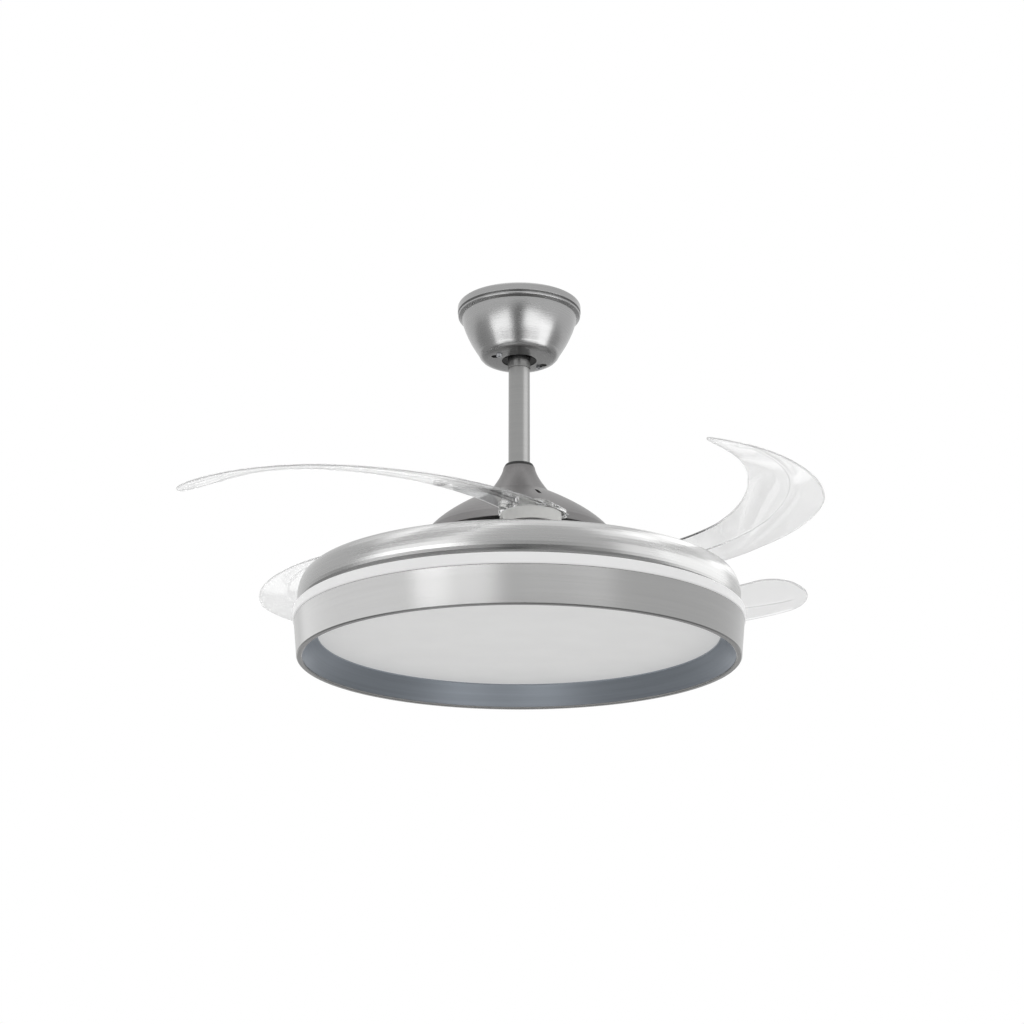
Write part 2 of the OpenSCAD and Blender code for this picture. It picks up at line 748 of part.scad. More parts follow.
// cross-section of the blade at a station: outer edge, crease, inner edge, above then below
function section(i) = let (
    s = station(i), u = s / blade_len, c = line_point(i), h = heading(s),
    w = half_width(s), t = -(pitch_root + (pitch_end - pitch_root) * u),
    z = blade_z - 1.1 + blade_rise * u,
    crease = crease_h * min(1, 8 * u) * max(0, min(1, (0.86 - u) * 5)),
    across = [-1, -0.93, -0.1, 0.12, 0.34, 0.93, 1],
    lift = [0, 0.5, 0.5, 0.5, 0.5, 0.5, 0],
    ridge = [0, 0, 0, crease, 0, 0, 0],
    top = [for (k = [0 : 6]) [across[k] * w, lift[k] * blade_t + ridge[k]]],
    low = [for (k = [5 : -1 : 1]) [across[k] * w, -lift[k] * blade_t + ridge[k]]])
    [for (p = concat(top, low)) [
        c[0] - sin(h) * (p[0] * cos(t) - p[1] * sin(t)),
        c[1] + cos(h) * (p[0] * cos(t) - p[1] * sin(t)),
        z + p[0] * sin(t) + p[1] * cos(t)]];

module blade_sheet() {
    m = 12;
    pts = [for (i = [0 : steps_n]) for (p = section(i)) p];
    walls = [for (i = [0 : steps_n - 1], j = [0 : m - 1], t = [0, 1]) let (k = (j + 1) % m,
        a = i * m + j, b = i * m + k, c = a + m, d = b + m) t == 0 ? [a, b, d] : [a, d, c]];
    polyhedron(pts, concat(walls, [[for (j = [m - 1 : -1 : 0]) j]],
        [[for (j = [0 : m - 1]) steps_n * m + j]]));
}

// thick clear pad under and over the root, its top pitched like the blade
module root_pad() {
    l = blade_heel + pad_ahead;
    intersection() {
        rotate([0, 0, -open_lean]) translate([(pad_ahead - blade_heel) / 2, 0, pad_bot])
            linear_extrude(pad_w / 2) round_bar(l, pad_w, pad_corner);
        rotate([0, 0, -open_lean]) translate([0, 0, blade_z]) rotate([-pitch_root, 0, 0])
            translate([-pad_reach, -pad_reach, pad_rise - pad_w])
            cube([2 * pad_reach, 2 * pad_reach, pad_w]);
    }
}

module blade_shape() {
    difference() {
        union() {
            blade_sheet();
            root_pad();
        }
        cylinder_from(boss_r + touch, motor_bot, cover_z);
        // flat seat that keeps the low edge off the gear
        cylinder_from(blade_pitch_r + 2 * gear_m, motor_bot, pad_bot);
        screw_places() cylinder(d = 4, h = 12, $fn = 32);
    }
}

// three screws that hold a blade on its hub, from below
module screw_places() {
    for (a = [60, 180, 300]) rotate([0, 0, a - open_lean]) translate([boss_r + 6, 0, gear_z]) children();
}

module blade(k) {
    color("azure") rotate([0, 0, blade_turn + 90 * k]) translate([pivot_r, 0, 0]) blade_shape();
}

// sector of a disc between two angles, up to a radius
module sector(r, a1, a2) {
    turn = (a2 - a1) / 12;
    polygon(concat([[0, 0]], [for (i = [0 : 12]) [r * cos(a1 + turn * i), r * sin(a1 + turn * i)]]));
}

module hub(k) {
    root_r = blade_pitch_r - gear_m * 1.25;
    tip_r = blade_pitch_r + gear_m * 0.95;
    // a gap between two teeth faces the toothed ring, and a smooth rim and skirt face outwards
    color("white") rotate([0, 0, blade_turn + 90 * k]) translate([pivot_r, 0, 0]) difference() {
        union() {
            translate([0, 0, gear_z]) linear_extrude(gear_t) {
                circle(root_r);
                for (i = [hub_tooth_first : hub_tooth_last]) rotate((i + 0.5) * 360 / blade_teeth)
                    tooth(blade_teeth);
                intersection() {
                    circle(tip_r);
                    sector(2 * tip_r, (hub_tooth_last + 1) * 360 / blade_teeth - 360,
                        hub_tooth_first * 360 / blade_teeth);
                }
            }
            translate([0, 0, gear_z - hub_skirt_h]) linear_extrude(hub_skirt_h + touch) intersection() {
                difference() {
                    circle(tip_r);
                    circle(tip_r - skirt_t);
                }
                sector(2 * tip_r, skirt_from, skirt_to);
            }
            cylinder_from(root_r, gear_z, pad_bot);
            cylinder_from(boss_r, gear_z, boss_top);
        }
        translate([0, 0, motor_bot]) cylinder(r = post_r + run, h = motor_h + 20);
        // pocket for the return spring
        translate([0, 0, gear_top + 1.5]) tube(spring_r - wire_r - 1.4, spring_r + wire_r + 1.4, 40);
        screw_places() {
            translate([0, 0, -1]) cylinder(d = 4, h = 12, $fn = 32);
            translate([0, 0, -touch]) cylinder(d1 = 6.4, d2 = 4, h = 1.8, $fn = 32);
        }
    }
}

module cylinder_from(r, z1, z2) {
    translate([0, 0, z1]) cylinder(r = r, h = z2 - z1);
}

module blade_screws(k) {
    color("silver") rotate([0, 0, blade_turn + 90 * k]) translate([pivot_r, 0, 0]) screw_places() {
        cylinder(d = 4, h = 11, $fn = 32);
        cylinder(d1 = 6.2, d2 = 4, h = 1.7, $fn = 32);
    }
}

// ---- drum light ----

module top_pan() {
    t = sheet_t;
    up = pan_top - pan_belly_z;
    down = pan_belly_z - pan_bot - 2;
    r1 = pan_r - pan_shoulder;
    r2 = pan_r - pan_curl;
    outer = concat([[shaft_r + touch, pan_top]],
        [for (a = [90 : -9 : 0]) [r1 + pan_shoulder * cos(a), pan_belly_z + up * sin(a)]],
        [for (a = [-15 : -15 : -75]) [r2 + pan_curl * cos(a), pan_belly_z + down * sin(a)]],
        [[r2 + 1, pan_bot + 1], [r2 + 1, pan_bot], [lip_in_r, pan_bot]]);
    inner = concat([[lip_in_r, pan_bot + t], [r2 - 1, pan_bot + t], [r2 - 1, pan_bot + 4]],
        [for (a = [-60 : 20 : -20]) [r2 + (pan_curl - t) * cos(a), pan_belly_z + (down - t) * sin(a)]],
        [for (a = [0 : 18 : 90]) [r1 + (pan_shoulder - t) * cos(a), pan_belly_z + (up - t) * sin(a)]],
        [[shaft_r + touch, pan_top - t]]);
    color("silver") difference() {
        rotate_extrude($fn = 180) polygon(concat(outer, inner));
        around(4, pan_screw_r) translate([0, 0, pan_bot]) cylinder(d = 5, h = pan_h + 1, $fn = 32);
        around(6, post_circle_r, 30) translate([0, 0, pan_bot - 1]) cylinder(d = 4, h = 4, $fn = 32);
    }
}

module pan_flange() {
    color("slategray") translate([0, 0, pan_plate_z - pan_flange_t]) difference() {
        cylinder(r = pan_flange_r, h = pan_flange_t);
        translate([0, 0, -1]) cylinder(r = shaft_r + touch, h = pan_flange_t + 2);
        around(4, pan_screw_r) translate([0, 0, -1])
            cylinder(d = 5, h = pan_flange_t + 2, $fn = 32);
    }
}

module shaft_nut() {
    color("silver") translate([0, 0, pan_plate_z - pan_flange_t - nut_h]) difference() {
        cylinder(r = 17, h = nut_h, $fn = 6);
        translate([0, 0, -1]) cylinder(r = shaft_r + touch, h = nut_h + 2);
    }
}

module pan_screws() {
    color("silver") around(4, pan_screw_r) translate([0, 0, pan_top])
        screw(5, sheet_t + pan_flange_t + 2, 9, 1.2);
}

module light_ring() {
    color("white") translate([0, 0, ring_bot]) rotate_extrude($fn = 180)
        polygon([[ring_r - ring_w, 0], [ring_r - 1, 0], [ring_r, 1], [ring_r, ring_h - 1],
            [ring_r - 1, ring_h], [ring_r - ring_w, ring_h]]);
}

module lamp_tray() {
    color("whitesmoke") translate([0, 0, tray_z]) difference() {
        cylinder(r = tray_r, h = sheet_t, $fn = 128);
        translate([0, 0, -1]) cylinder(r = 9, h = 4);
        around(6, post_circle_r, 30) translate([0, 0, -1]) cylinder(d = 4, h = 4, $fn = 32);
        around(6, post_circle_r) translate([0, 0, -1]) cylinder(d = 4, h = 4, $fn = 32);
    }
}

module tray_screws() {
    color("silver") around(6, post_circle_r, 30) translate([0, 0, tray_z]) mirror([0, 0, 1])
        screw(4, 2 * sheet_t + 2, 7, 2.4);
}

module led_board() {
    color("white") {
        translate([0, 0, tray_z - 1.6]) tube(40, diffuser_r - 20, 1.6);
        for (k = [0 : 2]) around(12 + 12 * k, 80 + 50 * k) translate([-1.8, -1.8, tray_z - 2.4])
            cube([3.6, 3.6, 0.8 + touch]);
    }
}

module led_driver() {
    color("lightgray") translate([driver_r, 0, tray_z + sheet_t]) {
        linear_extrude(driver_h) round_bar(driver_w, driver_l, 4);
        linear_extrude(2) round_bar(driver_w, driver_l + 2 * driver_foot, 2);
    }
}

module lamp_shell() {
    t = sheet_t;
    r1 = drum_r;
    r2 = shell_top_r;
    color("silver") difference() {
        rotate_extrude($fn = 180) polygon([[r1 - rim_w, rim_z + 0.6], [r1 - rim_w + 1, rim_z],
            [r1 - 1.2, rim_z], [r1, rim_z + 1.2], [r2, ring_bot - 0.6], [r2 - 0.6, ring_bot],
            [post_circle_r - 5, ring_bot], [post_circle_r - 5, ring_bot - t], [r2 - t - 0.3, ring_bot - t],
            [r1 - t, rim_z + t + 0.6], [r1 - rim_w, rim_z + t + 0.6]]);
        around(6, post_circle_r) translate([0, 0, ring_bot - 4]) cylinder(d = 4, h = 6, $fn = 32);
    }
}

// posts that hang the shell and the ring from the tray
module shell_posts() {
    color("silver") around(6, post_circle_r) translate([0, 0, ring_bot]) {
        cylinder(d = 7, h = ring_h - sheet_t, $fn = 6);
        translate([0, 0, -sheet_t - 2]) cylinder(d = 4 - touch, h = sheet_t + 2 + touch, $fn = 32);
        translate([0, 0, -sheet_t - 2.4]) cylinder(d = 7, h = 2.4, $fn = 32);
        translate([0, 0, ring_h - sheet_t - touch]) cylinder(d = 4 - touch, h = sheet_t, $fn = 32);
    }
}

// dark inner wall between the rim and the diffuser
module trim_ring() {
    t = 1.2;
    r1 = drum_r - rim_w + 0.4;
    r2 = diffuser_r;
    color("slategray") rotate_extrude($fn = 180) polygon([[r1, rim_z + sheet_t + 0.6],
        [r1 + 3.4, rim_z + sheet_t + 0.6], [r1 + 3.4, rim_z + sheet_t + 1.8],
        [r1 + 1, rim_z + sheet_t + 1.8], [r2 + t, trim_z], [r2 + 9, trim_z], [r2 + 9, trim_z + t],
        [r2, trim_z + t], [r2, trim_z - 0.4]]);
}

module diffuser() {
    t = 2;
    z = trim_z + 1.2;
    bow_r = diffuser_r - 0.6;
    edge = diffuser_r + 7;
    function bow(i) = z - diffuser_sag * (1 - i * i / 64);
    color("white") rotate_extrude($fn = 180) polygon(concat(
        [for (i = [0 : 8]) [bow_r * i / 8, bow(i)]],
        [[edge, z], [edge, z + t]],
        [for (i = [8 : -1 : 0]) [bow_r * i / 8, bow(i) + t]]));
}

ceiling_bracket();
hanger_ball();
ball_pin();
receiver();
canopy();
canopy_screws();
rod_collar();
downrod();
neck_gasket();
motor_cover();
yoke();
yoke_pin();
yoke_screws();
motor_shaft();
stator_core();
stator_windings();
pan_flange();
shaft_nut();
top_pan();
pan_screws();
light_ring();
lamp_tray();
tray_screws();
led_board();
led_driver();
lamp_shell();
shell_posts();
trim_ring();
diffuser();
rotor_lower();
rotor_upper();
magnet_ring();
bearing(low_bearing_z);  // lower_bearing
bearing(high_bearing_z);  // upper_bearing
rotor_screws();
blade_carrier();
pivot_posts();
pivot_washers();
pivot_screws();
return_springs();
ring_keepers();
keeper_screws();
sync_ring();
blade(3);  // blade_1
blade(0);  // blade_2
blade(1);  // blade_3
blade(2);  // blade_4
hub(3);  // hub_1
hub(0);  // hub_2
hub(1);  // hub_3
hub(2);  // hub_4
blade_screws(3);  // blade_screws_1
blade_screws(0);  // blade_screws_2
blade_screws(1);  // blade_screws_3
blade_screws(2);  // blade_screws_4
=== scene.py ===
import json
import math
import bpy
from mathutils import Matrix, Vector


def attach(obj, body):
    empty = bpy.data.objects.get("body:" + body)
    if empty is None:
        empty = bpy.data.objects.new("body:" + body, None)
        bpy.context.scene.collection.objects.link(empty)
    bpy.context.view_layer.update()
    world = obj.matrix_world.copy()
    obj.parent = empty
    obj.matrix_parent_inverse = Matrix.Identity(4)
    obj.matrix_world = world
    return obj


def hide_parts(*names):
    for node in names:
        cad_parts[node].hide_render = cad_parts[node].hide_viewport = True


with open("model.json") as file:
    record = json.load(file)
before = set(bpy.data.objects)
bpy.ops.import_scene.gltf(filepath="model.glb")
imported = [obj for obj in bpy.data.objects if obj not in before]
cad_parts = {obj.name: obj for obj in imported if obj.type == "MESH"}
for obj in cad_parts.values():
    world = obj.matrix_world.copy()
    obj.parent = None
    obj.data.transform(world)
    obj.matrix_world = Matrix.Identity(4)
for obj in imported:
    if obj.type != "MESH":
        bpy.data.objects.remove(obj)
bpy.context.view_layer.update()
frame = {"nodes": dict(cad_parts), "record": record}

mm = 0.001
print("frame loaded:", len(frame["nodes"]), "nodes")

# lengths in millimetres, in the part's own frame: origin on the ceiling, +Z up

camera = {"place": (0.0, -2250.0, -981.0), "pitch": 17.85, "lens": 72.11, "sensor": 36.0,
          "shiftX": -0.00703, "farthest": 50000.0}
room = {"floorZ": -1500.0, "floorSize": 14000.0, "floorColor": (0.86, 0.86, 0.86),
        "floorRough": 0.9, "seenWhite": 1.0, "ambientWhite": 0.75}


# a value inside a shader; maths on it adds the nodes
class Wire:
    def __init__(self, finish, socket):
        self.finish = finish
        self.socket = socket

    def maths(self, operation, *others):
        values = dict(enumerate([self, *others]))
        return self.finish.node("ShaderNodeMath", {"operation": operation}, values)[0]

    def __add__(self, other): return self.maths("ADD", other)
    def __radd__(self, other): return self.maths("ADD", other)
    def __sub__(self, other): return self.maths("SUBTRACT", other)
    def __mul__(self, other): return self.maths("MULTIPLY", other)
    def most(self, other): return self.maths("MAXIMUM", other)
    def root(self): return self.maths("SQRT")

    def ramp(self, low, high, fromValue=0.0, toValue=1.0):
        return self.finish.node("ShaderNodeMapRange", {"interpolation_type": "SMOOTHSTEP"},
                                {0: self, 1: low, 2: high, 3: fromValue, 4: toValue})[0]


# the outputs of one node, each handed out as a wire
class Outputs:
    def __init__(self, finish, node):
        self.finish = finish
        self.node = node

    def __getitem__(self, key):
        return Wire(self.finish, self.node.outputs[key])


# a new material, or the world's tree, built node by node
class Finish:
    def __init__(self, name, tree=None):
        if tree is None:
            self.material = bpy.data.materials.new(name)
            self.material.use_nodes = True
            tree = self.material.node_tree
        self.tree = tree
        self.tree.nodes.clear()

    def node(self, kind, settings=None, sockets=None):
        made = self.tree.nodes.new(kind)
        for key, value in (settings or {}).items():
            setattr(made, key, value)
        for key, value in (sockets or {}).items():
            if isinstance(value, Wire):
                self.tree.links.new(value.socket, made.inputs[key])
            else:
                made.inputs[key].default_value = value
        return Outputs(self, made)

    def join(self, low, high, share):
        return self.node("ShaderNodeMix", {"data_type": "RGBA"},
                         {0: share, 6: (*low, 1.0), 7: (*high, 1.0)})[2]

    def place(self):
        return self.node("ShaderNodeTexCoord")["Object"]

    def parts(self, vector):
        made = self.node("ShaderNodeSeparateXYZ", None, {0: vector})
        return made[0], made[1], made[2]

    def vector(self, x, y, z):
        return self.node("ShaderNodeCombineXYZ", None, {0: x, 1: y, 2: z})[0]

    def noise(self, vector, scale, detail=2.0, rough=0.5):
        return self.node("ShaderNodeTexNoise", None, {"Vector": vector, "Scale": scale,
                         "Detail": detail, "Roughness": rough})[0]

    def bump(self, height, distance):
        return self.node("ShaderNodeBump", None, {"Height": height, "Distance": distance,
                         "Strength": 1.0})[0]

    def surface(self, **sockets):
        values = {key.replace("_", " "): (*value, 1.0) if isinstance(value, tuple) else value
                  for key, value in sockets.items()}
        shader = self.node("ShaderNodeBsdfPrincipled", None, values)
        self.node("ShaderNodeOutputMaterial", None, {0: shader[0]})
        return self.material


def scaled(color, share):
    return tuple(min(1.0, c * share) for c in color)


# noise scales are waves per metre, depths are metres
rings = {"stretch": 3.0, "coneShare": 0.8, "scale": 1.0, "detail": 3.0, "rough": 0.6}
satin = {"lines": 900.0, "bands": 140.0, "cloud": 9.0, "cloudDetail": 3.0, "grain": 1100.0,
         "lineShare": 0.6, "bandShare": 0.4, "grainShare": 0.4, "low": 0.38, "high": 0.62,
         "roughStart": -0.035, "roughLines": 0.03, "roughCloud": 0.04,
         "depth": 0.000005, "grainDepth": 0.00004}
paint = {"grain": 1400.0, "cloud": 14.0, "spread": 0.14, "low": 0.3, "high": 0.7,
         "roughSpread": 0.12, "depth": 0.00006}
plastic = {"cloud": 22.0, "cloudDetail": 3.0, "grain": 900.0, "darkShare": 0.97,
           "low": 0.3, "high": 0.7, "roughSpread": 0.08, "depth": 0.00001}
acrylic = {"color": (0.93, 0.932, 0.932), "cloud": 12.0, "rough": 0.015, "roughSpread": 0.02,
           "bend": 1.45, "shine": 0.25, "hubRadius": 212.0, "openRadius": 250.0,
           "hubAlpha": 0.95, "openAlpha": 0.42}
# the grey of the blades' rims: painted shade along their edges
paintedEdgeLine = {"dark": (0.36, 0.36, 0.36), "light": (0.5, 0.5, 0.5), "cloud": 60.0,
               "low": 0.3, "high": 0.7, "rough": 0.2, "roughSpread": 0.1, "alpha": 0.7}
winding = {"turns": 700.0, "dark": (0.16, 0.05, 0.02), "light": (0.52, 0.2, 0.07),
           "low": 0.35, "high": 0.65, "metallic": 0.85, "rough": 0.35, "depth": 0.0002}


def turnedLines(finish, fine):
    # fine rings round the fan's axis, that follow walls, cones and flat faces alike
    x, y, z = finish.parts(finish.place())
    radius = (x * x + y * y).root()
    across = (z + radius * rings["coneShare"]) * fine
    return finish.noise(finish.vector(x * rings["stretch"], y * rings["stretch"], across),
                        rings["scale"], rings["detail"], rings["rough"])


def satinMetal(name, color, rough, contrast=0.05, speckle=0.0):
    finish = Finish(name)
    lines = turnedLines(finish, satin["lines"])
    bands = turnedLines(finish, satin["bands"])
    cloud = finish.noise(finish.place(), satin["cloud"], satin["cloudDetail"])
    grain = finish.noise(finish.place(), satin["grain"])
    tone = (lines * (satin["lineShare"] - speckle * satin["grainShare"])
            + bands * satin["bandShare"] + grain * (speckle * satin["grainShare"]))
    shade = finish.join(scaled(color, 1 - contrast), scaled(color, 1 + contrast),
                        tone.ramp(satin["low"], satin["high"]))
    depth = satin["depth"] + satin["grainDepth"] * speckle
    return finish.surface(Base_Color=shade, Metallic=1.0,
                          Roughness=(rough + satin["roughStart"] + lines * satin["roughLines"]
                                     + cloud * satin["roughCloud"]),
                          Normal=finish.bump(lines + grain * speckle, depth))


def grainPaint(name, color, rough, metallic=0.0):
    finish = Finish(name)
    grain = finish.noise(finish.place(), paint["grain"])
    cloud = finish.noise(finish.place(), paint["cloud"])
    shade = finish.join(scaled(color, 1 - paint["spread"]), scaled(color, 1 + paint["spread"]),
                        grain.ramp(paint["low"], paint["high"]))
    return finish.surface(Base_Color=shade, Metallic=metallic,
                          Roughness=rough + (cloud - 0.5) * paint["roughSpread"],
                          Normal=finish.bump(grain, paint["depth"]))


# glow, when it is given, is a painted glow: the plastic shines by itself, though it is no lamp
def moulded(name, color, rough, glow=0.0):
    finish = Finish(name)
    cloud = finish.noise(finish.place(), plastic["cloud"], plastic["cloudDetail"])
    grain = finish.noise(finish.place(), plastic["grain"])
    shade = finish.join(scaled(color, plastic["darkShare"]), color,
                        cloud.ramp(plastic["low"], plastic["high"]))
    return finish.surface(Base_Color=shade,
                          Roughness=rough + (cloud - 0.5) * plastic["roughSpread"],
                          Normal=finish.bump(grain, plastic["depth"]),
                          Emission_Color=color, Emission_Strength=glow)


def clearAcrylic(name):
    # glassy over the hub and the drum, within 212 mm of the fan's axis, and more see-through
    # beyond the drum's rim at 250 mm: painted light, so the blade reads lighter there
    finish = Finish(name)
    cloud = finish.noise(finish.place(), acrylic["cloud"])
    x, y = finish.parts(finish.place())[:2]
    radius = (x * x + y * y).root()
    return finish.surface(Base_Color=acrylic["color"], IOR=acrylic["bend"],
                          Roughness=acrylic["rough"] + cloud * acrylic["roughSpread"],
                          Transmission_Weight=1.0, Specular_IOR_Level=acrylic["shine"],
                          Alpha=radius.ramp(acrylic["hubRadius"] * mm, acrylic["openRadius"] * mm,
                                            acrylic["hubAlpha"], acrylic["openAlpha"]))


def edgeAcrylicPaintedShade(name):
    # the polished rim of a blade, painted as a thin grey line: painted shade for the dark line
    # that a clear edge shows
    finish = Finish(name)
    cloud = finish.noise(finish.place(), paintedEdgeLine["cloud"])
    shade = finish.join(paintedEdgeLine["dark"], paintedEdgeLine["light"],
                        cloud.ramp(paintedEdgeLine["low"], paintedEdgeLine["high"]))
    return finish.surface(Base_Color=shade, Alpha=paintedEdgeLine["alpha"],
                          Roughness=paintedEdgeLine["rough"] + cloud * paintedEdgeLine["roughSpread"])


def wound(name):
    finish = Finish(name)
    turns = turnedLines(finish, winding["turns"])
    shade = finish.join(winding["dark"], winding["light"],
                        turns.ramp(winding["low"], winding["high"]))
    return finish.surface(Base_Color=shade, Metallic=winding["metallic"],
                          Roughness=winding["rough"],
                          Normal=finish.bump(turns, winding["depth"]))


finishes = {
    "satin_metal": satinMetal("satinNickel", (0.345, 0.345, 0.343), rough=0.26, contrast=0.02),
    # the pan's copy of the satin nickel is lighter, a painted light, and the rod's darker, a
    # painted shade
    "pan_metal": satinMetal("panNickelPaintedLight", (0.36, 0.36, 0.358), rough=0.27, contrast=0.02),
    "rod_metal": satinMetal("rodNickelPaintedShade", (0.3, 0.3, 0.297), rough=0.34, contrast=0.04),
    "cover_grey": grainPaint("coverPaint", (0.21, 0.204, 0.204), rough=0.4, metallic=0.45),
    "black_rubber": grainPaint("blackRubber", (0.02, 0.02, 0.02), rough=0.6),
    "zinc_steel": satinMetal("zincSteel", (0.58, 0.59, 0.61), rough=0.3),
    "spring_steel": satinMetal("springSteel", (0.45, 0.45, 0.46), rough=0.25),
    "black_nylon": moulded("blackNylon", (0.03, 0.03, 0.03), rough=0.5),
    "cast_zinc": grainPaint("castZinc", (0.3, 0.3, 0.31), rough=0.5, metallic=0.8),
    "core_steel": satinMetal("coreSheets", (0.32, 0.33, 0.36), rough=0.4),
    "magnet_black": grainPaint("ferrite", (0.05, 0.05, 0.055), rough=0.45),
    "copper_wire": wound("copperWire"),
    "cast_aluminium": grainPaint("castAluminium", (0.55, 0.56, 0.57), rough=0.42, metallic=0.9),
    "white_nylon": moulded("whiteNylon", (0.78, 0.78, 0.76), rough=0.45),
    "clear_acrylic": clearAcrylic("clearAcrylic"),
    "edge_acrylic": edgeAcrylicPaintedShade("edgeAcrylicPaintedShade"),
    # white and milk acrylic get a painted glow: these pieces shine by themselves, though no lamp
    # lights them from inside
    "white_acrylic": moulded("whiteAcrylicPaintedGlow", (0.84, 0.84, 0.84), rough=0.3, glow=0.16),
    "milk_acrylic": moulded("milkAcrylicPaintedGlow", (0.8, 0.8, 0.795), rough=0.45, glow=0.17),
    "dark_trim": satinMetal("darkTrim", (0.36, 0.395, 0.44), rough=0.36, contrast=0.06),
    "white_plastic": moulded("whitePlastic", (0.75, 0.75, 0.73), rough=0.4),
    "white_board": moulded("whiteBoard", (0.8, 0.8, 0.78), rough=0.5),
    "white_sheet": grainPaint("whiteSheet", (0.72, 0.72, 0.71), rough=0.5),
    # near black for insides: painted shade, where the inside of a hollow lies in shade
    "raw_inside": grainPaint("insidePaintedShade", (0.03, 0.03, 0.03), rough=0.7),
    "brushed_metal": satinMetal("brushedNickel", (0.35, 0.35, 0.35), rough=0.27, contrast=0.04,
                                speckle=0.6),
}

# these nodes share their slot with others, but look a little different in the photograph
# the rod and its collar get the darker copy and the pan the lighter one: painted shade and painted
# light; their roughness differs as well
finishOf = {"downrod": "rod_metal", "rod_collar": "rod_metal", "top_pan": "pan_metal"}
slotOf = {row["node"]: row["material_slot"] for row in frame["record"]["subparts"]}
for nodeName, nodeObject in frame["nodes"].items():
    nodeObject.data.materials.clear()
    nodeObject.data.materials.append(finishes[finishOf.get(nodeName, slotOf[nodeName])])
print("finishes made:", len(finishes))

# modelling steps that the blades and the canopy share
modelling = {"weld": 0.02, "leastGrowth": 1e-6, "uprightRise": 1.0}


def deselect():
    if bpy.context.mode != "OBJECT":
        bpy.ops.object.mode_set(mode="OBJECT")
    bpy.ops.object.select_all(action="DESELECT")


def editMode():
    bpy.ops.object.mode_set(mode="EDIT")


def objectMode():
    bpy.ops.object.mode_set(mode="OBJECT")


def pick(piece):
    deselect()
    piece.select_set(True)
    bpy.context.view_layer.objects.active = piece


def applyTransforms():
    bpy.ops.object.transform_apply(location=True, rotation=True, scale=True)


def choose(piece, kind, test):
    # selects the vertices, edges or faces that pass the test, by place or normal
    mesh = piece.data
    objectMode()
    editMode()
    bpy.ops.mesh.select_mode(type=kind)
    bpy.ops.mesh.select_all(action="DESELECT")
    objectMode()
    if kind == "VERT":
        for vertex in mesh.vertices:
            vertex.select = test(vertex.co / mm)
    elif kind == "EDGE":
        for edge in mesh.edges:
            ends = [mesh.vertices[i].co / mm for i in edge.vertices]
            edge.select = test(*ends)
    else:
        for face in mesh.polygons:
            face.select = test(face.center / mm, face.normal)
    editMode()


def upright(end, otherEnd):
    return abs(end.z - otherEnd.z) > modelling["uprightRise"]


def box(size, place):
    # a cube of unit size, stretched; the caller's place is its middle
    deselect()
    bpy.ops.mesh.primitive_cube_add(size=1, location=[c * mm for c in place])
    made = bpy.context.active_object
    made.scale = [c * mm for c in size]
    applyTransforms()
    return made


def turned(name, profile, sides):
    # a lathe: rings of the profile's radius and height are extruded one after another
    deselect()
    radius, height = profile[0]
    bpy.ops.mesh.primitive_circle_add(vertices=sides, radius=radius * mm,
                                      location=(0, 0, height * mm))
    piece = bpy.context.active_object
    piece.name = name
    applyTransforms()
    editMode()
    bpy.ops.mesh.select_mode(type="EDGE")
    bpy.ops.mesh.select_all(action="SELECT")
    for nextRadius, nextHeight in profile[1:]:
        bpy.ops.mesh.extrude_region_move(
            TRANSFORM_OT_translate={"value": (0, 0, (nextHeight - height) * mm)})
        grow = nextRadius / radius
        if abs(grow - 1) > modelling["leastGrowth"]:
            bpy.ops.transform.resize(value=(grow, grow, 1),
                                     center_override=(0, 0, nextHeight * mm))
        radius, height = nextRadius, nextHeight
    bpy.ops.mesh.select_all(action="SELECT")
    bpy.ops.mesh.remove_doubles(threshold=modelling["weld"] * mm)
    bpy.ops.mesh.normals_make_consistent(inside=False)
    objectMode()
    return piece


def roundCutter(radius, bottom, top, sides=96):
    deselect()
    bpy.ops.mesh.primitive_cylinder_add(vertices=sides, radius=radius * mm,
                                        depth=(top - bottom) * mm,
                                        location=(0, 0, (top + bottom) / 2 * mm))
    cutter = bpy.context.active_object
    applyTransforms()
    return cutter


def applyModifier(piece, kind, **settings):
    pick(piece)
    modifier = piece.modifiers.new(kind.lower(), kind)
    for key, value in settings.items():
        setattr(modifier, key, value)
    bpy.ops.object.modifier_apply(modifier=modifier.name)


def combine(piece, other, operation):
    applyModifier(piece, "BOOLEAN", operation=operation, object=other, solver="EXACT")
    bpy.data.objects.remove(other, do_unlink=True)


def finishPiece(piece, name, body, nodes, smooth):
    pick(piece)
    applyTransforms()
    bpy.ops.object.shade_smooth_by_angle(angle=math.radians(smooth))
    piece.name = name
    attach(piece, body)
    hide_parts(*nodes)


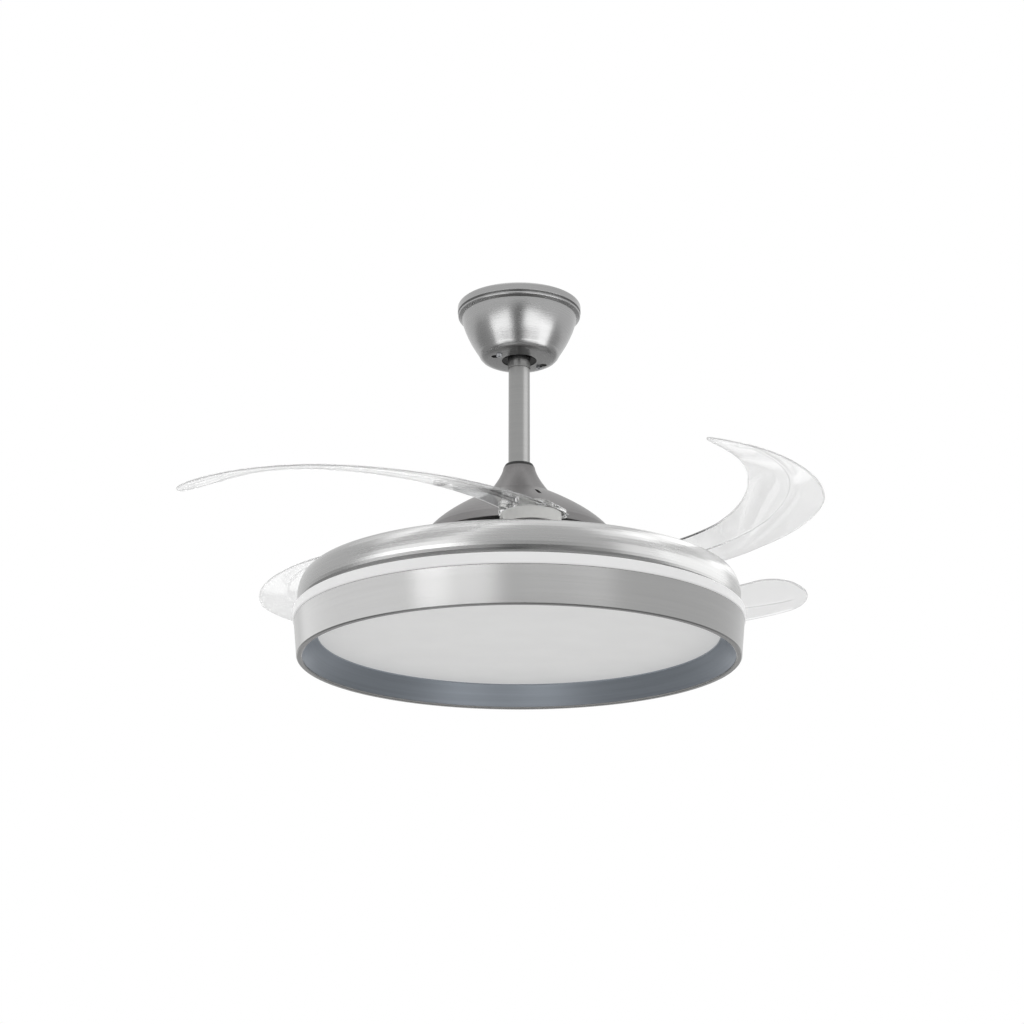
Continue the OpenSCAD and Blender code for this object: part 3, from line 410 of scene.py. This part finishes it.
# clear blades: widths are (share of the length, width), a blade's own frame has its pivot at the
# origin, and its middle line starts behind the pivot and bends away from it
motor = {"pivotRadius": 174.0, "bladeTurn": 4.0, "bladeHeight": -309.3, "gearTop": -315.5,
         "quarters": {1: 3, 2: 0, 3: 1, 4: 2}}
blade = {"length": 457.5, "neck": 15.0, "innerBend": 255.0, "innerBendLength": 240.0,
         "outerBend": 178.0, "lean": 36.0, "heel": 29.5, "heightAtHeel": -1.1, "rise": 19.0,
         "pitch": (9.0, 21.0), "thick": 2.6,
         "widths": ((0.0, 71.0), (0.3, 68.0), (0.62, 84.0), (0.88, 74.0), (1.0, 74.0)),
         "endStart": 0.88, "endLeast": 0.0016, "cornerReach": 10.0, "cornerDepth": 8.0,
         "rows": 72, "rowBunch": 1.25,
         "across": (-0.99, -0.955, -0.84, -0.55, -0.2, 0.04, 0.08, 0.12, 0.16, 0.2, 0.84,
                    0.955, 0.99),
         "rimShare": 0.35, "rimRound": 0.3, "rimSteps": 2, "rimAngle": 60.0,
         "crease": 1.1, "creaseLift": {5: 0.0, 6: 0.8, 7: 1.0, 8: 0.8, 9: 0.0},
         "creaseStart": 0.125, "creaseEnd": 0.97, "creaseFade": 0.06,
         "driftStart": 0.55, "drift": 0.6, "driftBunch": 1.5, "smooth": 30.0}
pad = {"ahead": 22.0, "width": 61.0, "corner": 9.0, "cornerSteps": 10, "rise": 6.0, "lift": 0.3,
       "blockRise": 30.0, "topFacing": 0.9, "edgeRound": 1.2, "edgeSteps": 4}
boss = {"radius": 17.0, "clearance": 0.02, "skirtRadius": 36.0, "cutBelow": 30.0,
        "cutAbove": 40.0}


def bladeHeading(s):
    inner = min(max(s - blade["neck"], 0), blade["innerBendLength"])
    outer = max(s - blade["neck"] - blade["innerBendLength"], 0)
    return (-math.radians(blade["lean"]) - inner / blade["innerBend"]
            - outer / blade["outerBend"])


def bladeHalfWidth(s):
    u = s / blade["length"]
    widths = blade["widths"]
    for (u0, w0), (u1, w1) in zip(widths, widths[1:]):
        if u <= u1:
            break
    width = w0 + (w1 - w0) * (u - u0) / (u1 - u0)
    tip = max(0.0, (u - blade["endStart"]) / (1 - blade["endStart"]))
    heel = max(0.0, 1 - s / blade["cornerReach"])
    return (width / 2 * math.sqrt(max(blade["endLeast"], 1 - tip * tip))
            - blade["cornerDepth"] * (1 - math.sqrt(1 - heel * heel)))


def turnRow(angle, axis, centre):
    # the operator turns the other way with no window open
    bpy.ops.transform.rotate(value=-angle, orient_axis=axis, center_override=centre)


def growRow(share, centre):
    bpy.ops.transform.resize(value=(share, share, share), center_override=centre)


def bladeRow():
    # one row of points across the blade, two units wide
    deselect()
    bpy.ops.mesh.primitive_grid_add(x_subdivisions=1, y_subdivisions=len(blade["across"]) - 1,
                                    size=2 * mm)
    row = bpy.context.active_object
    choose(row, "VERT", lambda p: p.x > 0)
    bpy.ops.mesh.delete(type="VERT")
    objectMode()
    ordered = sorted(row.data.vertices, key=lambda v: v.co.y)
    for vertex, share in zip(ordered, blade["across"]):
        vertex.co = (0, share * mm, 0)
    editMode()
    bpy.ops.mesh.select_mode(type="VERT")
    bpy.ops.mesh.select_all(action="SELECT")
    return row


def bladeSheet():
    # the row is extruded along the blade's bent middle line, rolled and widened on its way
    rows = blade["rows"]
    stations = [blade["length"] * (1 - (1 - i / rows) ** blade["rowBunch"])
                for i in range(rows + 1)]
    pitchHeel, pitchEnd = (math.radians(p) for p in blade["pitch"])
    lean = math.radians(blade["lean"])
    sheet = bladeRow()
    x, y = -blade["heel"] * math.cos(lean), blade["heel"] * math.sin(lean)
    z = motor["bladeHeight"] + blade["heightAtHeel"]
    half, heading, pitch = bladeHalfWidth(0), bladeHeading(0), -pitchHeel
    growRow(half, (0, 0, 0))
    turnRow(pitch, "X", (0, 0, 0))
    turnRow(heading, "Z", (0, 0, 0))
    bpy.ops.transform.translate(value=(x * mm, y * mm, z * mm))
    for last, s in zip(stations, stations[1:]):
        middle = bladeHeading((last + s) / 2)
        step = Vector(((s - last) * math.cos(middle), (s - last) * math.sin(middle),
                       blade["rise"] * (s - last) / blade["length"]))
        bpy.ops.mesh.extrude_region_move(TRANSFORM_OT_translate={"value": step * mm})
        x, y, z = x + step.x, y + step.y, z + step.z
        centre = (x * mm, y * mm, z * mm)
        turnRow(-heading, "Z", centre)
        nextPitch = -(pitchHeel + (pitchEnd - pitchHeel) * s / blade["length"])
        turnRow(nextPitch - pitch, "X", centre)
        heading, pitch = bladeHeading(s), nextPitch
        turnRow(heading, "Z", centre)
        nextHalf = bladeHalfWidth(s)
        growRow(nextHalf / half, centre)
        half = nextHalf
    objectMode()
    sheet.name = "bladeSheet"
    return sheet, stations


def raiseCrease(sheet, stations):
    # the moulded crease: its columns of points are lifted row by row, and drift to the outer edge
    across = blade["across"]
    points = sheet.data.vertices
    for row, s in enumerate(stations):
        u = s / blade["length"]
        share = min(1.0, u / blade["creaseStart"],
                    max(0.0, (blade["creaseEnd"] - u) / blade["creaseFade"]))
        beyond = max(0.0, (u - blade["driftStart"]) / (1 - blade["driftStart"]))
        drift = blade["drift"] * beyond ** blade["driftBunch"]
        start = row * len(across)
        low, high = points[start].co.copy(), points[start + len(across) - 1].co.copy()
        for column, lift in blade["creaseLift"].items():
            part = (across[column] + drift - across[0]) / (across[-1] - across[0])
            raised = Vector((0, 0, blade["crease"] * share * lift * mm))
            points[start + column].co = low.lerp(high, part) + raised


def thinRim(sheet):
    # the sheet keeps its full thickness inside, and its outermost points get a share of it
    across = len(blade["across"])
    group = sheet.vertex_groups.new(name="body")
    for index in range(len(sheet.data.vertices)):
        row, column = divmod(index, across)
        onRim = min(column, across - 1 - column, blade["rows"] - row) == 0
        group.add([index], blade["rimShare"] if onRim else 1.0, "REPLACE")


def rootPad():
    # a rounded block over the hub, cut off in the plane of the pitched blade
    bottom = motor["gearTop"] + pad["lift"]
    top = motor["bladeHeight"] + pad["blockRise"]
    pitch = math.radians(blade["pitch"][0])
    block = box((blade["heel"] + pad["ahead"], pad["width"], top - bottom),
                ((pad["ahead"] - blade["heel"]) / 2, 0, (bottom + top) / 2))
    choose(block, "EDGE", upright)
    bpy.ops.mesh.bevel(offset=pad["corner"] * mm, segments=pad["cornerSteps"], affect="EDGES")
    bpy.ops.mesh.select_all(action="SELECT")
    cutHeight = motor["bladeHeight"] + pad["rise"] / math.cos(pitch)
    bpy.ops.mesh.bisect(plane_co=(0, 0, cutHeight * mm),
                        plane_no=(0, math.sin(pitch), math.cos(pitch)), use_fill=True,
                        clear_outer=True)
    choose(block, "FACE", lambda c, n: n.z > pad["topFacing"])
    bpy.ops.mesh.bevel(offset=pad["edgeRound"] * mm, segments=pad["edgeSteps"], affect="EDGES")
    objectMode()
    pick(block)
    block.rotation_euler = (0, 0, -math.radians(blade["lean"]))
    applyTransforms()
    return block


sheet, stations = bladeSheet()
raiseCrease(sheet, stations)
thinRim(sheet)
sheet.data.materials.append(finishes["clear_acrylic"])
# the rim faces take the second finish, the grey edge: painted shade along the blade's edges
sheet.data.materials.append(finishes["edge_acrylic"])
applyModifier(sheet, "SOLIDIFY", thickness=blade["thick"] * mm, offset=0.0, use_even_offset=True,
              vertex_group="body", material_offset_rim=1)
applyModifier(sheet, "BEVEL", width=blade["rimRound"] * mm, segments=blade["rimSteps"],
              limit_method="ANGLE", angle_limit=math.radians(blade["rimAngle"]))
combine(sheet, rootPad(), "UNION")
cutBottom = motor["gearTop"] - boss["cutBelow"]
combine(sheet, roundCutter(boss["skirtRadius"], cutBottom, motor["gearTop"] + pad["lift"]),
        "DIFFERENCE")
combine(sheet, roundCutter(boss["radius"] + boss["clearance"], cutBottom,
                           motor["bladeHeight"] + boss["cutAbove"]), "DIFFERENCE")

for number, quarter in motor["quarters"].items():
    piece = bpy.data.objects.new("clearBlade%d" % number, sheet.data.copy())
    bpy.context.collection.objects.link(piece)
    turn = math.radians(motor["bladeTurn"] + 90 * quarter)
    piece.location = (motor["pivotRadius"] * math.cos(turn) * mm,
                      motor["pivotRadius"] * math.sin(turn) * mm, 0)
    piece.rotation_euler = (0, 0, turn)
    finishPiece(piece, "clearBlade%d" % number, "arm_%d" % number, ["blade_%d" % number],
                blade["smooth"])
bpy.data.objects.remove(sheet, do_unlink=True)
print("blades made")

# canopy: foot and bowl are (radius, height); insets are taken off the radius; turns are the
# first angle, the last angle and the steps of an arc
canopy = {"radius": 73.0, "depth": 69.0, "hole": 20.5, "wall": 1.2, "sides": 256,
          "foot": ((36.0, -69.0), (40.2, -68.4), (43.6, -66.7), (46.3, -63.9), (47.7, -61.0)),
          "bowl": ((48.4, -59.8), (52.6, -53.0), (56.7, -46.0), (60.4, -38.5), (63.6, -31.0),
                   (66.2, -23.5), (67.7, -17.8), (68.1, -16.0)),
          "grooveInset": 2.9, "grooveDrop": 0.5,
          "beadInset": 2.6, "beadRadius": 2.1, "beadHeight": -12.4, "beadTurns": (-75, 70, 12),
          "bandBottom": -9.3, "stepInset": 2.2, "stepDrop": 0.5, "bandInset": 1.4,
          "bandRound": 0.7, "bandTurns": (-60, 0, 4),
          "rimRound": 2.4, "rimTurns": (0, 80, 6), "topInset": 2.9, "smooth": 25.0}
canopyInside = {"rimHeight": -3.5, "bandInset": 0.3, "bandRise": 1.5, "shelfInset": 5.8,
                "shelfDrop": 0.8, "beadInset": 5.9, "beadHeight": -15.4, "bowlWalls": 1.25,
                "bowlRise": 0.4, "footInset": 1.0, "footRise": 0.6, "facing": 0.5,
                "floorBelow": -20.0}
keySlot = {"screwRadius": 30.5, "screwTurn": 40.0, "length": 8.0, "width": 4.6, "end": 4.2,
           "below": 2.0, "above": 1.0, "sides": 48, "roundShare": 0.98, "roundSteps": 8}


def arc(cx, cy, radius, start, stop, steps):
    angles = [math.radians(start + (stop - start) * i / steps) for i in range(steps + 1)]
    return [(cx + radius * math.cos(a), cy + radius * math.sin(a)) for a in angles]


def canopyOutside():
    # from the rod's hole over the foot, bowl, bead and band up to the ceiling
    r, top, rim = canopy["radius"], canopy["bandBottom"], canopy["rimRound"]
    bead, beadHeight, band = canopy["beadRadius"], canopy["beadHeight"], canopy["bandRound"]
    line = [(canopy["hole"], -canopy["depth"]), *canopy["foot"], *canopy["bowl"]]
    line += [(r - canopy["grooveInset"], beadHeight - bead - canopy["grooveDrop"])]
    line += arc(r - canopy["beadInset"], beadHeight, bead, *canopy["beadTurns"])
    line += [(r - canopy["stepInset"], top - canopy["stepDrop"]), (r - canopy["bandInset"], top)]
    line += arc(r - band, top + band, band, *canopy["bandTurns"])
    line += arc(r - rim, -rim, rim, *canopy["rimTurns"])
    return line + [(r - canopy["topInset"], 0.0)]


def canopyLining():
    # back down inside the wall, from the ceiling to the rod's hole
    r, w, top, inside = canopy["radius"], canopy["wall"], canopy["bandBottom"], canopyInside
    footTop = w - canopy["depth"]
    line = [(r - canopy["topInset"] - w, 0), (r - w, inside["rimHeight"]),
            (r - w - inside["bandInset"], top + inside["bandRise"]),
            (r - inside["shelfInset"], top - inside["shelfDrop"]),
            (r - inside["beadInset"], inside["beadHeight"])]
    line += [(radius - inside["bowlWalls"] * w, height + inside["bowlRise"])
             for radius, height in reversed(canopy["bowl"][:-1])]
    return line + [(canopy["foot"][1][0] - inside["footInset"], footTop + inside["footRise"]),
                   (canopy["foot"][0][0], footTop), (canopy["hole"], footTop)]


def keyhole():
    # a narrow slot along the screw's turn that ends in a wide round hole
    bottom = -canopy["depth"] - keySlot["below"]
    top = -canopy["depth"] + canopy["wall"] + keySlot["above"]
    cutter = roundCutter(keySlot["end"], bottom, top, keySlot["sides"])
    half = keySlot["width"] / 2
    bar = keySlot["length"] + half
    slot = box((2 * half, bar, top - bottom), (0, bar / 2, (bottom + top) / 2))
    choose(slot, "EDGE", lambda a, b: upright(a, b) and min(a.y, b.y) > half)
    bpy.ops.mesh.bevel(offset=half * keySlot["roundShare"] * mm, segments=keySlot["roundSteps"],
                       affect="EDGES")
    objectMode()
    combine(cutter, slot, "UNION")
    return cutter


def isPaintedShadeLining(centre, normal):
    # faces that look at the axis, and the top of the foot
    reach = math.hypot(centre.x, centre.y)
    looksIn = centre.x * normal.x + centre.y * normal.y < -canopyInside["facing"] * reach
    return looksIn or (normal.z > canopyInside["facing"] and centre.z < canopyInside["floorBelow"])


profile = canopyOutside() + canopyLining()
canopyPiece = turned("canopyShell", profile + profile[:1], canopy["sides"])
for half in (0, 180):
    cutter = keyhole()
    turn = math.radians(keySlot["screwTurn"] + half)
    x, y = keySlot["screwRadius"], -keySlot["length"]
    cutter.location = Vector((x * math.cos(turn) - y * math.sin(turn),
                              x * math.sin(turn) + y * math.cos(turn), 0)) * mm
    cutter.rotation_euler = (0, 0, turn)
    pick(cutter)
    applyTransforms()
    combine(canopyPiece, cutter, "DIFFERENCE")
# the outer faces get the brushed metal and the inner faces the near black: painted shade inside
# the canopy
canopyPiece.data.materials.append(finishes["brushed_metal"])
canopyPiece.data.materials.append(finishes["raw_inside"])
choose(canopyPiece, "FACE", isPaintedShadeLining)
canopyPiece.active_material_index = 1
bpy.ops.object.material_slot_assign()
objectMode()
finishPiece(canopyPiece, "canopyShell", "fixed_frame", ["canopy"],
            canopy["smooth"])
print("canopy made")

deselect()
bpy.ops.mesh.primitive_plane_add(size=room["floorSize"] * mm,
                                 location=(0, 0, room["floorZ"] * mm))
floor = bpy.context.active_object
floor.name = "floor"
floor.data.materials.append(Finish("floorPaint").surface(Base_Color=room["floorColor"],
                                                         Roughness=room["floorRough"]))

# lamps and cards stand round the drum or the canopy, and look at the drum or the canopy
drumCentre = (0.0, 0.0, -380.0)
drumTop = (0.0, 0.0, -350.0)
canopyCentre = (0.0, 0.0, -40.0)


def around(azimuth, elevation, distance, centre=drumCentre):
    # the azimuth starts at the camera's side and grows to the right
    turn, lift = math.radians(azimuth), math.radians(elevation)
    return (centre[0] + distance * math.sin(turn) * math.cos(lift),
            centre[1] - distance * math.cos(turn) * math.cos(lift),
            centre[2] + distance * math.sin(lift))


def facing(place, aim, front):
    return (Vector(aim) - Vector(place)).to_track_quat(front, "Y").to_euler()


def softLamp(name, place, size, glow, aim=drumTop, lit=()):
    # glow is the lamp's own shade, on the scale where white is 1; lit names the pieces that it
    # lights, all of them when there are none
    wattsPerShade = 4
    data = bpy.data.lights.new(name, "AREA")
    data.shape = "RECTANGLE"
    data.size, data.size_y = size[0] * mm, size[1] * mm
    data.energy = wattsPerShade * size[0] * size[1] * mm * mm * glow
    lamp = bpy.data.objects.new(name, data)
    lamp.location = Vector(place) * mm
    lamp.rotation_euler = facing(place, aim, "-Z")
    lamp.visible_camera = False
    bpy.context.collection.objects.link(lamp)
    if lit:
        lamp.light_linking.receiver_collection = bpy.data.collections.new(name)
        for piece in lit:
            lamp.light_linking.receiver_collection.objects.link(piece)


onShell = (frame["nodes"]["lamp_shell"],)
onPan = (frame["nodes"]["top_pan"],)
onRod = (frame["nodes"]["downrod"],)
onTrim = (frame["nodes"]["trim_ring"],)
onCanopy = (canopyPiece,)
lamps = {
    "stripLeft": dict(place=around(-41, 15, 2750), size=(1000, 900), glow=3.4, lit=onShell),
    "stripSoft": dict(place=around(-19, 15, 2750), size=(850, 900), glow=2.5, lit=onShell),
    "stripMiddle": dict(place=around(22, 15, 2750), size=(2300, 900), glow=0.8, lit=onShell),
    "stripBack": dict(place=around(-97, 14, 2900), size=(5000, 1800), glow=0.55, lit=onShell),
    "lipLeft": dict(place=around(-30, -40, 1300), size=(1400, 700), glow=1.3, lit=onShell),
    "lineLeft": dict(place=around(-52, 1, 2750), size=(3000, 330), glow=2.3, lit=onPan),
    "highLeft": dict(place=around(-50, 34, 2600), size=(2400, 4000), glow=0.95, lit=onPan),
    "highRight": dict(place=around(100, 17, 2600), size=(2600, 4500), glow=1.15, lit=onPan),
    "roofLeft": dict(place=around(-84, 58, 2600), size=(2500, 1400), glow=0.4, lit=onPan),
    "roofRight": dict(place=around(132, 36, 2600), size=(1700, 1500), glow=0.8, lit=onPan),
    "softRight": dict(place=around(62, 22, 2600), size=(1400, 3300), glow=0.85, lit=onPan),
    "rodRight": dict(place=around(76, 22, 2600), size=(2400, 1400), glow=0.8, lit=onRod),
    "lowLeft": dict(place=around(-44, -29, 1700, canopyCentre), size=(1350, 700), glow=1.9,
                    aim=canopyCentre, lit=onCanopy),
    "lowRight": dict(place=around(48, -29, 1700, canopyCentre), size=(2200, 700), glow=2.0,
                     aim=canopyCentre, lit=onCanopy),
    "trimMiddle": dict(place=around(-19, -44, 1200), size=(420, 900), glow=1.5, lit=onTrim),
    "trimLeft": dict(place=around(44, -44, 1200), size=(500, 900), glow=1.1, lit=onTrim),
    "panelTop": dict(place=(0, -300, 2300), size=(2600, 2600), glow=0.5),
}
for lampName, spec in lamps.items():
    softLamp(lampName, **spec)
print("lamps made:", len(lamps))


def shadeCard(name, place, size, shade, aim=drumTop):
    # a studio card that only reflections see
    deselect()
    bpy.ops.mesh.primitive_plane_add(size=1, location=(0, 0, 0))
    card = bpy.context.active_object
    card.name = name
    card.scale = (size[0] * mm, size[1] * mm, 1)
    card.rotation_euler = facing(place, aim, "Z")
    card.location = Vector(place) * mm
    finish = Finish(name)
    glow = finish.node("ShaderNodeEmission", None, {0: (shade, shade, shade, 1.0), 1: 1.0})
    finish.node("ShaderNodeOutputMaterial", None, {0: glow[0]})
    card.data.materials.append(finish.material)
    card.visible_camera = card.visible_diffuse = card.visible_transmission = False
    card.visible_shadow = False


cards = {
    "cardLeft": dict(place=around(-112, -5.5, 2500), size=(2200, 540), shade=0.45),
    "cardFront": dict(place=around(9, -7, 2500), size=(1500, 420), shade=0.08),
    "cardFloor": dict(place=(0, 0, room["floorZ"] + 20), size=(13500, 13500), shade=0.5),
    "cardUnder": dict(place=(0, 0, room["floorZ"] + 30), size=(3600, 3600), shade=0.32),
    "cardStripe": dict(place=around(-3, -33, 1500, canopyCentre), size=(330, 800), shade=0.1,
                       aim=canopyCentre),
}
for cardName, spec in cards.items():
    shadeCard(cardName, **spec)

# the world is white where it is seen, in glass and metal too, and dimmer as a light
world = bpy.data.worlds.new("studio")
world.use_nodes = True
bpy.context.scene.world = world
sky = Finish("studio", world.node_tree)
rays = sky.node("ShaderNodeLightPath")
seen = rays["Is Camera Ray"].most(rays["Is Transmission Ray"]).most(rays["Is Glossy Ray"])
white = (1.0, 1.0, 1.0, 1.0)
plain = sky.node("ShaderNodeBackground", None, {0: white, 1: room["seenWhite"]})
soft = sky.node("ShaderNodeBackground", None, {0: white, 1: room["ambientWhite"]})
both = sky.node("ShaderNodeMixShader", None, {0: seen, 1: soft[0], 2: plain[0]})
sky.node("ShaderNodeOutputWorld", None, {0: both[0]})

cameraData = bpy.data.cameras.new("camera")
cameraData.lens = camera["lens"]
cameraData.sensor_width = camera["sensor"]
cameraData.shift_x = camera["shiftX"]
cameraData.clip_end = camera["farthest"] * mm
cameraObject = bpy.data.objects.new("camera", cameraData)
cameraObject.location = Vector(camera["place"]) * mm
cameraObject.rotation_euler = (math.radians(90 + camera["pitch"]), 0, 0)
bpy.context.collection.objects.link(cameraObject)
bpy.context.scene.camera = cameraObject
bpy.context.scene.view_settings.view_transform = "Standard"
print("room ready")
